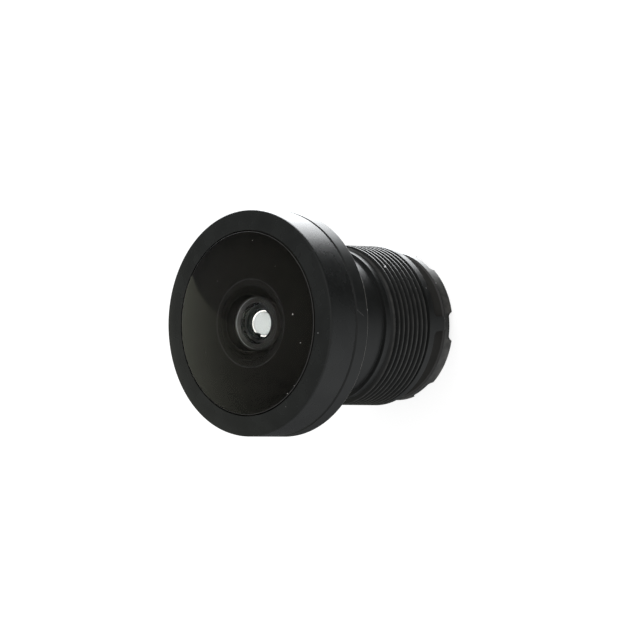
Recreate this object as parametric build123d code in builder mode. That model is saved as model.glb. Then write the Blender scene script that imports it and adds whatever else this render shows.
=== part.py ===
"""Wide-angle board camera lens with an M12 x 0.5 mounting thread.

The lens stands on its rear end. Z is the optical axis and points out of the front glass.
The origin is the centre of the rear end face. All sizes are in millimetres and degrees.
Two groups are loaded into one turned barrel: the front glasses from the head, the rear
glasses from behind, on the two sides of a web that carries the aperture stop.
"""

import os
from math import sqrt

from build123d import *

os.makedirs("parts", exist_ok=True)

# Outside of the barrel, from the rear end up
thread_radius = 6.0  # major radius of the M12 thread
thread_depth = 0.27
tip_step = 0.4
tip_length = 1.3
land_length = 1.7
thread_length = 4.05
relief_length = 0.45
shoulder_rise = 0.1
neck_radius = 5.5
neck_length = 4.75
flange_thickness = 1.35
edge_break = 0.1

# Arc pockets behind the thread, and spanner notches in the end wall
pocket_start = 0.9
pocket_width = 1.5
pocket_depth = 0.9
pocket_count = 3
bridge_width = 1.15
pocket_corner = 0.22
notch_count = 6
notch_width = 2.0
notch_depth = 0.38

# Cap that holds the front glass on the head of the barrel
head_radius = 8.4
cap_height = 2.65
cap_wall = 0.75
cap_thread_gap = 0.05
spigot_wall = 0.51  # wall of the barrel between the cap's thread and the front glass
cap_lip_thickness = 0.69
cap_cone_rise = 0.14
rim_rounding = 0.1
spigot_gap = 0.1

# Fits
slide_gap = 0.04  # radial gap of a glass or a ring in its bore
lip_gap = 0.05  # radial gap between the front glass and the cap's lip
cement_gap = 0.01  # thickness of a cement line, and of the play of the seal
free_gap = 0.05  # end gap where a piece seats on its other side
glass_bevel = 0.08
glass_rim = 0.4  # width of the flat ring round a polished face

# Front glass: a deep meniscus with a step for the cap's lip
front_glass_ledge = 0.22
front_glass_edge = 1.1  # from the rear face up to the ledge
front_glass_stand = 0.046  # height of the dome's edge above the cap's lip
front_glass_front = 18.2
front_glass_hollow = 2.98  # where the hollow meets the rear face
front_glass_hollow_depth = 2.034

# Seal and light shield under the front glass
seal_section = 0.44
seal_side_gap = 0.08
seal_outer_land = 0.29  # seat outside the seal's groove
seal_inner_land = 0.36  # seat inside the seal's groove
shield_thickness = 0.1
shield_hole_gap = 0.1  # radial, round the cone of the second glass

# Second glass, which reaches into the hollow of the first
second_gap = 1.73  # air on the axis
second_centre = 0.6
second_front = 45.0
second_rear = 4.35
second_cone_gap = 0.03  # radial, between the foot of its cone and the hollow
second_cone_taper = 0.4
second_rim = 1.9

# Film and ring between the second and third glasses
film_thickness = 0.05
film_hole_step = 0.1  # how much wider each hole behind the second glass is
second_lip = 0.3  # how far the ring's lip reaches inside its bore
second_lip_thickness = 0.45

# Third glass, on the front of the web
third_gap = 0.8
third_centre = 3.4
third_front = 5.6
third_rear = 21.0
third_rim = 0.35
third_radius = 3.5
second_ledge = 0.7  # how much wider the second glass is than the third

# Aperture stop under the web, and its ring
stop_gap = 1.02
stop_lip = 0.13  # how far the stop reaches inside its ring
web_seat = 0.65  # width of the web that the stop lies on
stop_ring_height = 0.75
stop_ring_wall = 0.85

# Cemented pair
pair_radius = 3.0
pair_inner_centre = 2.6
pair_joint_depth = 1.834
pair_outer_centre = 0.5
pair_outer_rear = 5.0

# Last glass, with its film and ring
rear_gap = 0.25
rear_centre = 2.2
rear_front = 11.2
rear_back = 20.5
rear_ledge = 0.4  # how much wider the last glass is than the cemented pair
rear_ring_boss = 0.25
rear_lip = 0.09  # how far the ring's lip reaches inside the film's hole
rear_lip_drop = 0.1  # height of the film above the lip

# Retaining ring and infrared filter
retainer_ledge = 0.8  # how much wider the retaining ring is than the last glass
retainer_length = 1.9
retainer_wall = 0.61
slot_width = 0.6
slot_depth = 0.5
filter_thickness = 0.21

# How far a cut runs past the face it starts from
overrun = 0.5


def sag(radius, height):
    """Depth of a sphere of this radius at a height from the axis."""
    return radius - sqrt(radius**2 - height**2)


def sphere_radius(height, depth):
    """Radius of a sphere with this depth at a height from the axis."""
    return (height**2 + depth**2) / (2 * depth)


def polished(vertex, radius, height, bulge):
    """Arc of a polished face from the axis out. Bulge is 1 towards the front, -1 towards the rear."""
    middle = height / 2
    ThreePointArc(
        (0, vertex),
        (middle, vertex - bulge * sag(radius, middle)),
        (height, vertex - bulge * sag(radius, height)),
    )


def save(piece, name):
    """Labels a finished piece and writes it to its own file."""
    piece.label = name
    export_step(piece, f"parts/{name}.step")


# Heights of the barrel's outside
tip_radius = thread_radius - tip_step
thread_root = thread_radius - thread_depth
land_top = tip_length + land_length
thread_top = land_top + thread_length
relief_top = thread_top + relief_length
neck_base = relief_top + shoulder_rise
flange_base = neck_base + neck_length
flange_top = flange_base + flange_thickness
rim_height = flange_top + cap_height
cap_bore = head_radius - cap_wall
spigot_radius = cap_bore - cap_thread_gap

# Front glass: its ledge lies under the cap's lip, its rear face on the barrel's seat
front_glass_bore = spigot_radius - spigot_wall
ledge_radius = front_glass_bore - slide_gap
front_glass_radius = ledge_radius - front_glass_ledge
lip_radius = front_glass_radius + lip_gap
lip_top = rim_height + cap_cone_rise
lip_base = lip_top - cap_lip_thickness
seat_height = lip_base - front_glass_edge
front_glass_rear = sphere_radius(front_glass_hollow, front_glass_hollow_depth)
hollow_vertex = seat_height + front_glass_hollow_depth
dome_edge = front_glass_radius - glass_bevel
dome_rim = lip_top + front_glass_stand
dome_vertex = dome_rim + sag(front_glass_front, dome_edge)

# Seal in its groove, and the light shield inside it
groove_outer = front_glass_bore - seal_outer_land
seal_radius = groove_outer - seal_side_gap - seal_section / 2
groove_inner = seal_radius - seal_section / 2 - seal_side_gap
groove_base = seat_height - seal_section - 2 * cement_gap
shield_bore = groove_inner - seal_inner_land
shield_radius = shield_bore - slide_gap

# Second glass: its cone reaches into the hollow, its flange lies under the light shield
second_radius = third_radius + second_ledge
second_clear = second_radius - second_rim
second_cone = front_glass_hollow - second_cone_gap
second_face = second_cone - second_cone_taper
shield_hole = second_cone + shield_hole_gap
second_film_hole = second_clear + film_hole_step
second_ring_hole = second_film_hole + film_hole_step
second_lip_radius = second_ring_hole - second_lip
shield_base = seat_height - shield_thickness
second_vertex = hollow_vertex - second_gap
second_rear_vertex = second_vertex - second_centre
second_base = second_rear_vertex - sag(second_rear, second_clear)
second_bore = second_radius + slide_gap
second_film_base = second_base - film_thickness
second_lip_base = second_film_base - second_lip_thickness

# Third glass: its rear rim lies on the web
third_front_clear = third_radius - third_rim
third_rear_clear = third_radius - glass_rim
third_vertex = second_rear_vertex - third_gap
third_shoulder = third_vertex - sag(third_front, third_front_clear)
third_rear_vertex = third_vertex - third_centre
third_seat = third_rear_vertex + sag(third_rear, third_rear_clear)
third_bore = third_radius + slide_gap

# Stop and cemented pair, seated on the web from behind
pair_clear = pair_radius - glass_rim
pair_inner_radius = pair_clear - free_gap
pair_joint = sphere_radius(pair_clear, pair_joint_depth)
web_hole = pair_radius - web_seat
stop_ring_hole = pair_radius - stop_ring_wall
stop_hole = stop_ring_hole - stop_lip
stop_plane = third_rear_vertex - stop_gap
stop_base = stop_plane - film_thickness
pair_vertex = stop_base - stop_ring_height
joint_vertex = pair_vertex - pair_inner_centre
pair_outer_vertex = joint_vertex - cement_gap
pair_rear_vertex = pair_outer_vertex - pair_outer_centre
pair_rear_rim = pair_rear_vertex + sag(pair_outer_rear, pair_clear)
pair_bore = pair_radius + slide_gap

# Last glass
rear_radius = pair_radius + rear_ledge
rear_clear = rear_radius - glass_rim
rear_vertex = pair_rear_vertex - rear_gap
rear_front_rim = rear_vertex - sag(rear_front, rear_clear)
rear_back_vertex = rear_vertex - rear_centre
rear_back_rim = rear_back_vertex + sag(rear_back, rear_clear)
rear_bore = rear_radius + slide_gap
rear_film_base = pair_rear_rim - film_thickness
rear_step = rear_film_base - rear_ring_boss
ring_taper_top = pair_clear + free_gap
ring_taper_base = rear_clear + free_gap
rear_lip_radius = ring_taper_top - rear_lip
rear_lip_height = rear_film_base - rear_lip_drop

# Retaining ring and filter
retainer_radius = rear_radius + retainer_ledge
retainer_base = rear_back_rim - retainer_length
retainer_bore = retainer_radius + slide_gap
retainer_step = rear_back_rim + free_gap
filter_bore = retainer_radius - retainer_wall
filter_radius = filter_bore - slide_gap
filter_base = retainer_base + free_gap
filter_seat = filter_base + filter_thickness

# Barrel, turned and milled from one bar
spigot_top = lip_base - spigot_gap

with BuildPart() as barrel:
    with BuildSketch(Plane.XZ):
        with BuildLine():
            Polyline(
                (retainer_bore, 0),
                (tip_radius, 0),
                (tip_radius, tip_length),
                (thread_radius, tip_length),
                (thread_radius, thread_top - thread_depth),
                (thread_root, thread_top),
                (thread_root, relief_top),
                (neck_radius, neck_base),
                (neck_radius, flange_base),
                (head_radius, flange_base),
                (head_radius, flange_top),
                (spigot_radius, flange_top),
                (spigot_radius, spigot_top),
                (front_glass_bore, spigot_top),
                (front_glass_bore, seat_height),
                (groove_outer, seat_height),
                (groove_outer, groove_base),
                (groove_inner, groove_base),
                (groove_inner, seat_height),
                (shield_bore, seat_height),
                (shield_bore, shield_base),
                (second_bore, shield_base),
                (second_bore, second_film_base),
                (third_bore, second_film_base),
                (third_bore, third_seat),
                (third_rear_clear, third_seat),
                (web_hole, stop_plane),
                (pair_bore, stop_plane),
                (pair_bore, rear_step),
                (rear_bore, rear_step),
                (rear_bore, retainer_step),
                (retainer_bore, retainer_step),
                close=True,
            )
        make_face()
    revolve(axis=Axis.Z)
    head_rims = barrel.edges().filter_by(GeomType.CIRCLE).sort_by(SortBy.RADIUS)[-2:]
    chamfer(head_rims, length=edge_break)

    # Arc pockets behind the thread, with straight bridges left between them
    with BuildSketch(Plane.XY.offset(pocket_start)):
        Circle(thread_radius + overrun)
        Circle(thread_radius - pocket_depth, mode=Mode.SUBTRACT)
        with PolarLocations(thread_radius, pocket_count, start_angle=-90):
            Rectangle(2 * (pocket_depth + overrun), bridge_width, mode=Mode.SUBTRACT)
    extrude(amount=pocket_width, mode=Mode.SUBTRACT)
    pocket_top = pocket_start + pocket_width
    pocket_ends = barrel.edges().filter_by(GeomType.LINE)
    fillet(pocket_ends.filter_by_position(Axis.Z, pocket_top, pocket_top), radius=pocket_corner)

    # Spanner notches through the end wall, one of them in line with a bridge
    end_wall = tip_radius - retainer_bore
    with BuildSketch(Plane.XY):
        with PolarLocations(tip_radius - end_wall / 2, notch_count, start_angle=-90):
            Rectangle(end_wall + 2 * overrun, notch_width)
    extrude(amount=notch_depth, mode=Mode.SUBTRACT)
save(barrel.part, "barrel")

# Cap, screwed over the barrel's spigot against the flange
with BuildPart() as front_cap:
    with BuildSketch(Plane.XZ):
        with BuildLine():
            Polyline(
                (cap_bore, flange_top),
                (head_radius, flange_top),
                (head_radius, rim_height),
                (lip_radius, lip_top),
                (lip_radius, lip_base),
                (cap_bore, lip_base),
                close=True,
            )
        make_face()
    revolve(axis=Axis.Z)
    cap_rims = front_cap.edges().filter_by(GeomType.CIRCLE).sort_by(SortBy.RADIUS)[-2:].sort_by(Axis.Z)
    chamfer(cap_rims[0], length=edge_break)
    fillet(cap_rims[1], radius=rim_rounding)
save(front_cap.part, "front_cap")

# Front glass
with BuildPart() as front_glass:
    with BuildSketch(Plane.XZ):
        with BuildLine():
            polished(dome_vertex, front_glass_front, dome_edge, 1)
            Polyline(
                (dome_edge, dome_rim),
                (front_glass_radius, dome_rim - glass_bevel),
                (front_glass_radius, lip_base),
                (ledge_radius, lip_base),
                (ledge_radius, seat_height + glass_bevel),
                (ledge_radius - glass_bevel, seat_height),
                (front_glass_hollow, seat_height),
            )
            polished(hollow_vertex, front_glass_rear, front_glass_hollow, 1)
            Line((0, hollow_vertex), (0, dome_vertex))
        make_face()
    revolve(axis=Axis.Z)
save(front_glass.part, "front_glass")

# Rubber seal in the barrel's groove, as it sits when the cap is tight
with BuildPart() as front_seal:
    with BuildSketch(Plane.XZ):
        with Locations((seal_radius, groove_base + cement_gap + seal_section / 2)):
            Circle(seal_section / 2)
    revolve(axis=Axis.Z)
save(front_seal.part, "front_seal")

# Black light shield between the first two glasses
with BuildPart() as light_shield:
    with BuildSketch(Plane.XY.offset(shield_base)):
        Circle(shield_radius)
        Circle(shield_hole, mode=Mode.SUBTRACT)
    extrude(amount=shield_thickness)
save(light_shield.part, "light_shield")

# Second glass
second_edge = second_vertex + sag(second_front, second_face)

with BuildPart() as second_glass:
    with BuildSketch(Plane.XZ):
        with BuildLine():
            polished(second_vertex, second_front, second_face, -1)
            Polyline(
                (second_face, second_edge),
                (second_cone, shield_base),
                (second_radius - glass_bevel, shield_base),
                (second_radius, shield_base - glass_bevel),
                (second_radius, second_base + glass_bevel),
                (second_radius - glass_bevel, second_base),
                (second_clear, second_base),
            )
            polished(second_rear_vertex, second_rear, second_clear, 1)
            Line((0, second_rear_vertex), (0, second_vertex))
        make_face()
    revolve(axis=Axis.Z)
save(second_glass.part, "second_glass")

# Black film under the second glass
with BuildPart() as second_film:
    with BuildSketch(Plane.XY.offset(second_film_base)):
        Circle(second_radius)
        Circle(second_film_hole, mode=Mode.SUBTRACT)
    extrude(amount=film_thickness)
save(second_film.part, "second_film")

# Ring that sets the air between the second and third glasses
with BuildPart() as second_ring:
    with BuildSketch(Plane.XZ):
        with BuildLine():
            Polyline(
                (second_lip_radius, second_film_base),
                (third_radius, second_film_base),
                (third_radius, third_shoulder),
                (third_front_clear + free_gap, third_shoulder),
                (second_ring_hole, second_lip_base),
                (second_lip_radius, second_lip_base),
                close=True,
            )
        make_face()
    revolve(axis=Axis.Z)
save(second_ring.part, "second_ring")

# Third glass
with BuildPart() as third_glass:
    with BuildSketch(Plane.XZ):
        with BuildLine():
            polished(third_vertex, third_front, third_front_clear, 1)
            Polyline(
                (third_front_clear, third_shoulder),
                (third_radius - glass_bevel, third_shoulder),
                (third_radius, third_shoulder - glass_bevel),
                (third_radius, third_seat + glass_bevel),
                (third_radius - glass_bevel, third_seat),
                (third_rear_clear, third_seat),
            )
            polished(third_rear_vertex, third_rear, third_rear_clear, -1)
            Line((0, third_rear_vertex), (0, third_vertex))
        make_face()
    revolve(axis=Axis.Z)
save(third_glass.part, "third_glass")

# Aperture stop, a thin washer against the web
with BuildPart() as aperture_stop:
    with BuildSketch(Plane.XY.offset(stop_base)):
        Circle(pair_radius)
        Circle(stop_hole, mode=Mode.SUBTRACT)
    extrude(amount=film_thickness)
save(aperture_stop.part, "aperture_stop")

# Ring between the stop and the cemented pair
with BuildPart() as stop_ring:
    with BuildSketch(Plane.XY.offset(pair_vertex)):
        Circle(pair_radius)
        Circle(stop_ring_hole, mode=Mode.SUBTRACT)
    extrude(amount=stop_ring_height)
save(stop_ring.part, "stop_ring")

# Inner glass of the cemented pair, flat in front
pair_inner_rim = joint_vertex + sag(pair_joint, pair_inner_radius)

with BuildPart() as pair_inner_glass:
    with BuildSketch(Plane.XZ):
        with BuildLine():
            Polyline(
                (0, joint_vertex),
                (0, pair_vertex),
                (pair_inner_radius - glass_bevel, pair_vertex),
                (pair_inner_radius, pair_vertex - glass_bevel),
                (pair_inner_radius, pair_inner_rim),
            )
            polished(joint_vertex, pair_joint, pair_inner_radius, -1)
        make_face()
    revolve(axis=Axis.Z)
save(pair_inner_glass.part, "pair_inner_glass")

# Outer glass of the cemented pair, hollow in front
pair_outer_rim = pair_outer_vertex + sag(pair_joint, pair_clear)

with BuildPart() as pair_outer_glass:
    with BuildSketch(Plane.XZ):
        with BuildLine():
            polished(pair_outer_vertex, pair_joint, pair_clear, -1)
            Polyline(
                (pair_clear, pair_outer_rim),
                (pair_radius - glass_bevel, pair_outer_rim),
                (pair_radius, pair_outer_rim - glass_bevel),
                (pair_radius, pair_rear_rim + glass_bevel),
                (pair_radius - glass_bevel, pair_rear_rim),
                (pair_clear, pair_rear_rim),
            )
            polished(pair_rear_vertex, pair_outer_rear, pair_clear, -1)
            Line((0, pair_rear_vertex), (0, pair_outer_vertex))
        make_face()
    revolve(axis=Axis.Z)
save(pair_outer_glass.part, "pair_outer_glass")

# Black film behind the cemented pair
with BuildPart() as rear_film:
    with BuildSketch(Plane.XY.offset(rear_film_base)):
        Circle(pair_radius)
        Circle(ring_taper_top, mode=Mode.SUBTRACT)
    extrude(amount=film_thickness)
save(rear_film.part, "rear_film")

# Stepped ring between the cemented pair and the last glass
with BuildPart() as rear_ring:
    with BuildSketch(Plane.XZ):
        with BuildLine():
            Polyline(
                (ring_taper_top, rear_film_base),
                (pair_radius, rear_film_base),
                (pair_radius, rear_step - free_gap),
                (rear_radius, rear_step - free_gap),
                (rear_radius, rear_front_rim),
                (ring_taper_base, rear_front_rim),
                (rear_lip_radius, rear_lip_height),
                close=True,
            )
        make_face()
    revolve(axis=Axis.Z)
save(rear_ring.part, "rear_ring")

# Last glass
with BuildPart() as rear_glass:
    with BuildSketch(Plane.XZ):
        with BuildLine():
            polished(rear_vertex, rear_front, rear_clear, 1)
            Polyline(
                (rear_clear, rear_front_rim),
                (rear_radius - glass_bevel, rear_front_rim),
                (rear_radius, rear_front_rim - glass_bevel),
                (rear_radius, rear_back_rim + glass_bevel),
                (rear_radius - glass_bevel, rear_back_rim),
                (rear_clear, rear_back_rim),
            )
            polished(rear_back_vertex, rear_back, rear_clear, -1)
            Line((0, rear_back_vertex), (0, rear_vertex))
        make_face()
    revolve(axis=Axis.Z)
save(rear_glass.part, "rear_glass")

# Retaining ring, screwed in from behind, with a recess for the filter and two slots
with BuildPart() as rear_retainer:
    with BuildSketch(Plane.XZ):
        with BuildLine():
            Polyline(
                (ring_taper_base, rear_back_rim),
                (retainer_radius, rear_back_rim),
                (retainer_radius, retainer_base),
                (filter_bore, retainer_base),
                (filter_bore, filter_seat),
                (ring_taper_base, filter_seat),
                close=True,
            )
        make_face()
    revolve(axis=Axis.Z)
    with BuildSketch(Plane.XY.offset(retainer_base)):
        Rectangle(2 * (retainer_radius + overrun), slot_width)
    extrude(amount=slot_depth, mode=Mode.SUBTRACT)
save(rear_retainer.part, "rear_retainer")

# Infrared filter, bonded into the retaining ring
with BuildPart() as infrared_filter:
    with BuildSketch(Plane.XY.offset(filter_base)):
        Circle(filter_radius)
    extrude(amount=filter_thickness)
save(infrared_filter.part, "infrared_filter")
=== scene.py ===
"""Looks of a wide-angle M12 board camera lens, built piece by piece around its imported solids.

The lens stands on its rear end with the glass up. Sizes are in millimetres, heights are
measured from the rear end face, and each mesh is scaled to metres when it is finished.
"""

import random
from math import asin, cos, pi, radians, sin, sqrt, tan

import bmesh
import bpy
from mathutils import Matrix, Vector


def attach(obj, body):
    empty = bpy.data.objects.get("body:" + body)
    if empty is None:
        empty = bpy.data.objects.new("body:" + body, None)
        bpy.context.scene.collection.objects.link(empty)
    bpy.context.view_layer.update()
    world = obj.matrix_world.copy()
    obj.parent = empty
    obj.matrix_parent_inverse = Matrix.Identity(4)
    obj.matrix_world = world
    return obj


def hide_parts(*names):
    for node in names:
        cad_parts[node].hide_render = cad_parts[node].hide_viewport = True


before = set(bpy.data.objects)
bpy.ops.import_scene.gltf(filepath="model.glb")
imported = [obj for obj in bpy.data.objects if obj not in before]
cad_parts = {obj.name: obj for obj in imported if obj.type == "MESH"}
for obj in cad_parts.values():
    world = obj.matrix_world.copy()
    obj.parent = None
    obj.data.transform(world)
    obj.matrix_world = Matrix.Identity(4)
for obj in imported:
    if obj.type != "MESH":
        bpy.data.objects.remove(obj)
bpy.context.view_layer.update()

# Barrel
# One turned part of black anodised aluminium: back half of the head, neck, M12 x 0.5 thread,
# plain land with three milled pockets, and a notched end for the spanner. Its bore holds all
# the glasses and rings, on the two sides of a thin web.
mm = 0.001
barrel_columns = 300
thread_start = 3.0
thread_end = 7.05
thread_pitch = 0.5
thread_crest = 6.0
thread_depth = 0.27
# Height over which the thread grows out of the land, and how far below a whole pitch its
# crests lie at +X, in pitches
thread_fade = 0.08
thread_lead = 0.07
# One turn of the thread, from crest to crest: share of the pitch, share of the depth, wear
thread_form = (
    (0.00, 0.00, 0.08), (0.10, 0.01, 0.06), (0.15, 0.11, 0), (0.24, 0.45, 0),
    (0.34, 0.85, 0), (0.41, 0.99, 0), (0.50, 1.00, 0), (0.59, 0.99, 0),
    (0.66, 0.85, 0), (0.76, 0.45, 0), (0.85, 0.11, 0), (0.90, 0.01, 0.06),
)
# Corners of a turned profile: radius, height, easing and, where the edge is rubbed, its wear.
# The foot goes from the bore round the end ring to the land.
barrel_foot = (
    (4.24, 1.2, 0), (4.24, 0.0, 0.04, 0.3), (5.6, 0.0, 0.05, 0.3), (5.6, 0.13, 0, 0.18),
    (5.6, 0.8, 0, 0.10), (5.6, 1.3, 0.03), (6.0, 1.3, 0.04, 0.1), (6.0, 2.2, 0), (6.0, 3.0, 0),
)
# The body goes up the neck and the head, over the cap's spigot and the seal's groove, and down
# the bore past the web. The flange's rear edge is fully worn, its pale partly a painted highlight.
barrel_body = (
    (5.73, 7.05, 0), (5.73, 7.5, 0.03), (5.5, 7.6, 0.03), (5.5, 10.0, 0), (5.5, 12.35, 0.08),
    (8.325, 12.35, 0.02, 1), (8.4, 12.425, 0.02, 1), (8.4, 13.5, 0.04), (8.3, 13.6, 0),
    (8.3, 13.695, 0), (7.6, 13.695, 0), (7.6, 15.7, 0), (7.09, 15.7, 0), (7.09, 14.695, 0),
    (6.8, 14.695, 0), (6.8, 14.24, 0), (6.2, 14.24, 0), (6.2, 14.695, 0), (5.84, 14.695, 0),
    (5.84, 14.6, 0), (4.24, 14.6, 0), (4.24, 13.696, 0), (3.54, 13.696, 0), (3.54, 10.43, 0),
    (3.1, 10.43, 0), (2.35, 9.187, 0.02), (3.04, 9.187, 0), (3.04, 5.703, 0), (3.44, 5.703, 0),
    (3.44, 3.095, 0), (4.24, 3.095, 0),
)
# A corner's arc has so many steps and takes at most this share of a side. A side longer than so
# many arcs gets one more point, two arcs from the corner, which keeps the arc's shading off it.
arc_steps = 3
arc_share = 0.45
long_side = 8
beside_arc = 2
# Points closer than this are one, and edges that turn by more than this stay sharp
weld = 1e-5
crease = radians(35)


def eased(corners, closed=False):
    """Profile whose eased corners become small arcs; an arc's points carry the corner's wear."""
    out = []
    for i, (r, z, ease, *worn) in enumerate(corners):
        wear = worn[0] if worn else 0
        here = Vector((r, z))
        if not ease or (not closed and i in (0, len(corners) - 1)):
            out.append((r, z, wear))
            continue
        before = Vector(corners[i - 1][:2]) - here
        after = Vector(corners[(i + 1) % len(corners)][:2]) - here
        reach = ease * tan((pi - before.angle(after)) / 2)
        start = here + before.normalized() * min(reach, before.length * arc_share)
        end = here + after.normalized() * min(reach, after.length * arc_share)
        if before.length > long_side * reach:
            out.append((*(here + before.normalized() * reach * beside_arc), 0))
        for k in range(arc_steps + 1):
            t = k / arc_steps
            out.append((*(start * (1 - t) ** 2 + here * 2 * t * (1 - t) + end * t**2), wear))
        if after.length > long_side * reach:
            out.append((*(here + after.normalized() * reach * beside_arc), 0))
    return out


def ring_of(bm, radius, height, columns, wear=0):
    """Circle of vertices round the axis, or one vertex on it."""
    layer = bm.verts.layers.float.get("edge") or bm.verts.layers.float.new("edge")
    if not radius:
        return [bm.verts.new((0, 0, height))]
    circle = []
    for j in range(columns):
        turn = 2 * pi * j / columns
        circle.append(bm.verts.new((radius * cos(turn), radius * sin(turn), height)))
        circle[-1][layer] = wear
    return circle


def band(bm, low, high, index=0):
    """Faces between two circles of vertices."""
    count = max(len(low), len(high))
    for j in range(count):
        k = (j + 1) % count
        corners = [low[j % len(low)], low[k % len(low)], high[k % len(high)], high[j % len(high)]]
        unique = list(dict.fromkeys(corners))
        if len(unique) > 2:
            bm.faces.new(unique).material_index = index


def revolved(bm, profile, columns, closed=False):
    """Circles of an eased profile with the faces between them; returns the circles."""
    circles = [ring_of(bm, r, z, columns, wear) for r, z, wear in eased(profile, closed)]
    following = circles[1:] + circles[:1] if closed else circles[1:]
    for low, high in zip(circles, following):
        band(bm, low, high)
    return circles


def finished(name, bm, materials, node=None):
    """Turns a bmesh in millimetres into a piece in metres, which may stand for a CAD node."""
    bmesh.ops.remove_doubles(bm, verts=bm.verts, dist=weld)
    bmesh.ops.dissolve_degenerate(bm, edges=bm.edges, dist=weld / 10)
    bmesh.ops.recalc_face_normals(bm, faces=bm.faces)
    for edge in bm.edges:
        if len(edge.link_faces) == 2:
            one, other = edge.link_faces
            same = one.material_index == other.material_index
            edge.smooth = same and edge.calc_face_angle(0) < crease
    for face in bm.faces:
        face.smooth = True
    bmesh.ops.scale(bm, vec=(mm, mm, mm), verts=bm.verts)
    mesh = bpy.data.meshes.new(name)
    bm.to_mesh(mesh)
    bm.free()
    for material in materials:
        mesh.materials.append(material)
    piece = bpy.data.objects.new(name, mesh)
    bpy.context.scene.collection.objects.link(piece)
    if node:
        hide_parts(node)
    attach(piece, "root")


def shader_group(name, inputs, outputs):
    """Empty node group; V, C and F make vector, colour and number sockets. Returns it with its
    nodes, links, input and output."""
    group = bpy.data.node_groups.new(name, "ShaderNodeTree")
    kinds = {"V": "NodeSocketVector", "C": "NodeSocketColor", "F": "NodeSocketFloat"}
    for label, kind in inputs:
        group.interface.new_socket(label, in_out="INPUT", socket_type=kinds[kind])
    for label, kind in outputs:
        group.interface.new_socket(label, in_out="OUTPUT", socket_type=kinds[kind])
    given = group.nodes.new("NodeGroupInput")
    result = group.nodes.new("NodeGroupOutput")
    return group, group.nodes, group.links, given, result


def added(nodes, kind, settings=(), **values):
    """New node with its settings and socket values; _ stands for a blank in a socket's name."""
    node = nodes.new(kind)
    for key, value in dict(settings).items():
        setattr(node, key, value)
    for key, value in values.items():
        node.inputs[key.replace("_", " ")].default_value = value
    return node


def math_node(nodes, links, operation, one, two, clamp=False):
    """Math node whose two inputs are sockets or numbers; returns its output."""
    node = nodes.new("ShaderNodeMath")
    node.operation = operation
    node.use_clamp = clamp
    for socket, value in zip(node.inputs, (one, two)):
        if hasattr(value, "is_output"):
            links.new(value, socket)
        else:
            socket.default_value = value
    return node.outputs[0]


# Etched grain of about 0.04 mm, and slow clouds of the dye of about 2 mm
fine_grain, nodes, links, given, result = shader_group(
    "fine_grain",
    (("Place", "V"), ("Dye", "C")),
    (("Colour", "C"), ("Height", "F"), ("Roughness", "F")),
)
grain = added(nodes, "ShaderNodeTexNoise", Scale=24000, Detail=2)
cloud = added(nodes, "ShaderNodeTexNoise", Scale=600, Detail=4)
spread = added(nodes, "ShaderNodeMapRange", From_Min=0.3, From_Max=0.7, To_Min=0.86, To_Max=1.16)
satin = added(nodes, "ShaderNodeMapRange", From_Min=0.3, From_Max=0.7, To_Min=0.95, To_Max=1.06)
tint = added(nodes, "ShaderNodeMix", {"data_type": "RGBA", "blend_type": "MULTIPLY"}, Factor=1)
for noise in (grain, cloud):
    links.new(given.outputs["Place"], noise.inputs["Vector"])
for ranged in (spread, satin):
    links.new(cloud.outputs["Fac"], ranged.inputs["Value"])
links.new(given.outputs["Dye"], tint.inputs["A"])
links.new(spread.outputs["Result"], tint.inputs["B"])
links.new(tint.outputs["Result"], result.inputs["Colour"])
links.new(grain.outputs["Fac"], result.inputs["Height"])
links.new(satin.outputs["Result"], result.inputs["Roughness"])

# Wear that breaks up along the rubbed edges
edge_wear, nodes, links, given, result = shader_group(
    "edge_wear", (("Place", "V"), ("Edge", "F"), ("Amount", "F")), (("Mask", "F"),)
)
rub = added(nodes, "ShaderNodeTexNoise", Scale=1500, Detail=3)
patches = added(nodes, "ShaderNodeMapRange", From_Min=0.36, From_Max=0.62, To_Min=0.35, To_Max=1)
links.new(given.outputs["Place"], rub.inputs["Vector"])
links.new(rub.outputs["Fac"], patches.inputs["Value"])
rubbed_and_painted_light = math_node(nodes, links, "MULTIPLY", given.outputs["Edge"], patches.outputs["Result"])
worn = math_node(nodes, links, "MULTIPLY", rubbed_and_painted_light, given.outputs["Amount"], clamp=True)
links.new(worn, result.inputs["Mask"])

# Sparse specks of dust: a small spot in a share of cells 0.4 mm wide
dust_specks, nodes, links, given, result = shader_group(
    "dust_specks", (("Place", "V"), ("Share", "F")), (("Mask", "F"),)
)
cells = added(nodes, "ShaderNodeTexVoronoi", Scale=2600)
links.new(given.outputs["Place"], cells.inputs["Vector"])
chosen = nodes.new("ShaderNodeSeparateColor")
links.new(cells.outputs["Color"], chosen.inputs["Color"])
small = math_node(nodes, links, "LESS_THAN", cells.outputs["Distance"], 0.11)
few = math_node(nodes, links, "LESS_THAN", chosen.outputs["Red"], given.outputs["Share"])
links.new(math_node(nodes, links, "MULTIPLY", small, few), result.inputs["Mask"])

# One round mark at a place of its own
single_mark, nodes, links, given, result = shader_group(
    "single_mark", (("Place", "V"), ("Centre", "V"), ("Radius", "F")), (("Mask", "F"),)
)
away = added(nodes, "ShaderNodeVectorMath", {"operation": "DISTANCE"})
links.new(given.outputs["Place"], away.inputs[0])
links.new(given.outputs["Centre"], away.inputs[1])
within = math_node(nodes, links, "LESS_THAN", away.outputs["Value"], given.outputs["Radius"])
links.new(within, result.inputs["Mask"])

# Height of the grain in metres, and what shows where the black is rubbed off or dusty. On the
# flange's rear edge the rubbed-off pale is partly a painted highlight.
grain_height = 0.00001
bare_metal_and_highlight = (0.45, 0.43, 0.40)
dust_grey = (0.22, 0.21, 0.20)


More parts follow.
